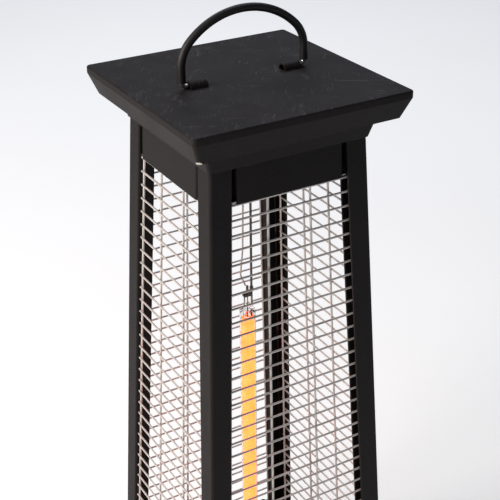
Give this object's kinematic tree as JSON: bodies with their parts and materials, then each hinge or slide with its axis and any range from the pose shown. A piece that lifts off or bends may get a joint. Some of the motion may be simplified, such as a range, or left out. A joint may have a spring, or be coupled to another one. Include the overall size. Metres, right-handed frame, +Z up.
{
  "type": "outdoor heater",
  "caption": "Free-standing lantern-shaped electric patio heater: tapered square frame with wire guards, quartz element, stepped cap and folding carry handle.",
  "frame": {"origin": "centre of the footprint, on the floor", "axes": "+Z up, front faces -Y, right side faces +X"},
  "size_m": [0.262, 0.262, 0.746],
  "materials": {
    "shell": "black textured powder coat, lightly scratched",
    "guard_wire": "bright nickel-plated steel wire",
    "bare_rod": "bare bright steel rod",
    "sleeve": "matt black rubber",
    "inner_sheet": "zinc-plated sheet",
    "quartz": "clear fused quartz",
    "carbon": "glowing carbon filament",
    "fixings": "zinc-plated steel",
    "black_screws": "black-plated steel",
    "ceramic": "unglazed steatite ceramic",
    "lead": "braided glass-fibre sleeve",
    "riser": "dark silicone insulation",
    "plastic": "black moulded plastic",
    "feet": "black rubber"
  },
  "bodies": {
    "body": {"base_panel_back": "shell", "base_panel_front": "shell", "base_panel_left": "shell", "base_panel_right": "shell", "base_plate": "inner_sheet", "base_screws": "black_screws", "base_skirt": "shell", "cable_gland": "plastic", "cap_collar": "shell", "cap_screws": "fixings", "cap_standoffs": "fixings", "cap_top": "shell", "carbon_element": "carbon", "deck_screws": "fixings", "element_pins": "fixings", "feet": "feet", "foot_screws": "fixings", "frame_plate": "inner_sheet", "frame_screws": "black_screws", "gland_nut": "plastic", "guard_back": "guard_wire", "guard_front": "guard_wire", "guard_left": "guard_wire", "guard_right": "guard_wire", "heat_shield": "inner_sheet", "lower_bushing": "ceramic", "lower_clamp": "fixings", "lower_deck": "inner_sheet", "lower_lead": "lead", "post_back_left": "shell", "post_back_right": "shell", "post_front_left": "shell", "post_front_right": "shell", "quartz_tube": "quartz", "riser_clips": "plastic", "riser_wire": "riser", "rocker_housing": "plastic", "shield_screws": "fixings", "stay_nuts": "fixings", "stay_rod": "fixings", "terminal_block": "ceramic", "thermal_cutout": "plastic", "tip_spring": "fixings", "tip_switch": "plastic", "top_panel_back": "shell", "top_panel_front": "shell", "top_panel_left": "shell", "top_panel_right": "shell", "upper_bushing": "ceramic", "upper_clamp": "fixings", "upper_lead": "lead"},
    "handle": {"handle_rod": "bare_rod", "handle_sleeve": "sleeve"},
    "rocker": {"rocker": "plastic"},
    "plunger": {"tip_plunger": "plastic"}
  },
  "joints": [
    {"name": "handle_fold", "type": "hinge", "parent": "body", "child": "handle", "pos_m": [0, 0, 0.6823], "axis": [1, 0, 0], "range_deg": [-68, 68]},
    {"name": "rocker_press", "type": "hinge", "parent": "body", "child": "rocker", "pos_m": [0.03, 0.10312, 0.07185], "axis": [1, 0, 0], "range_deg": [-16, 0]},
    {"name": "tip_plunge", "type": "slide", "parent": "body", "child": "plunger", "axis": [0, 0, -1], "range_m": [0, 0.0048], "stiffness_N_per_m": 150, "springref_m": 0.012, "deforming": ["tip_spring"]}
  ]
}
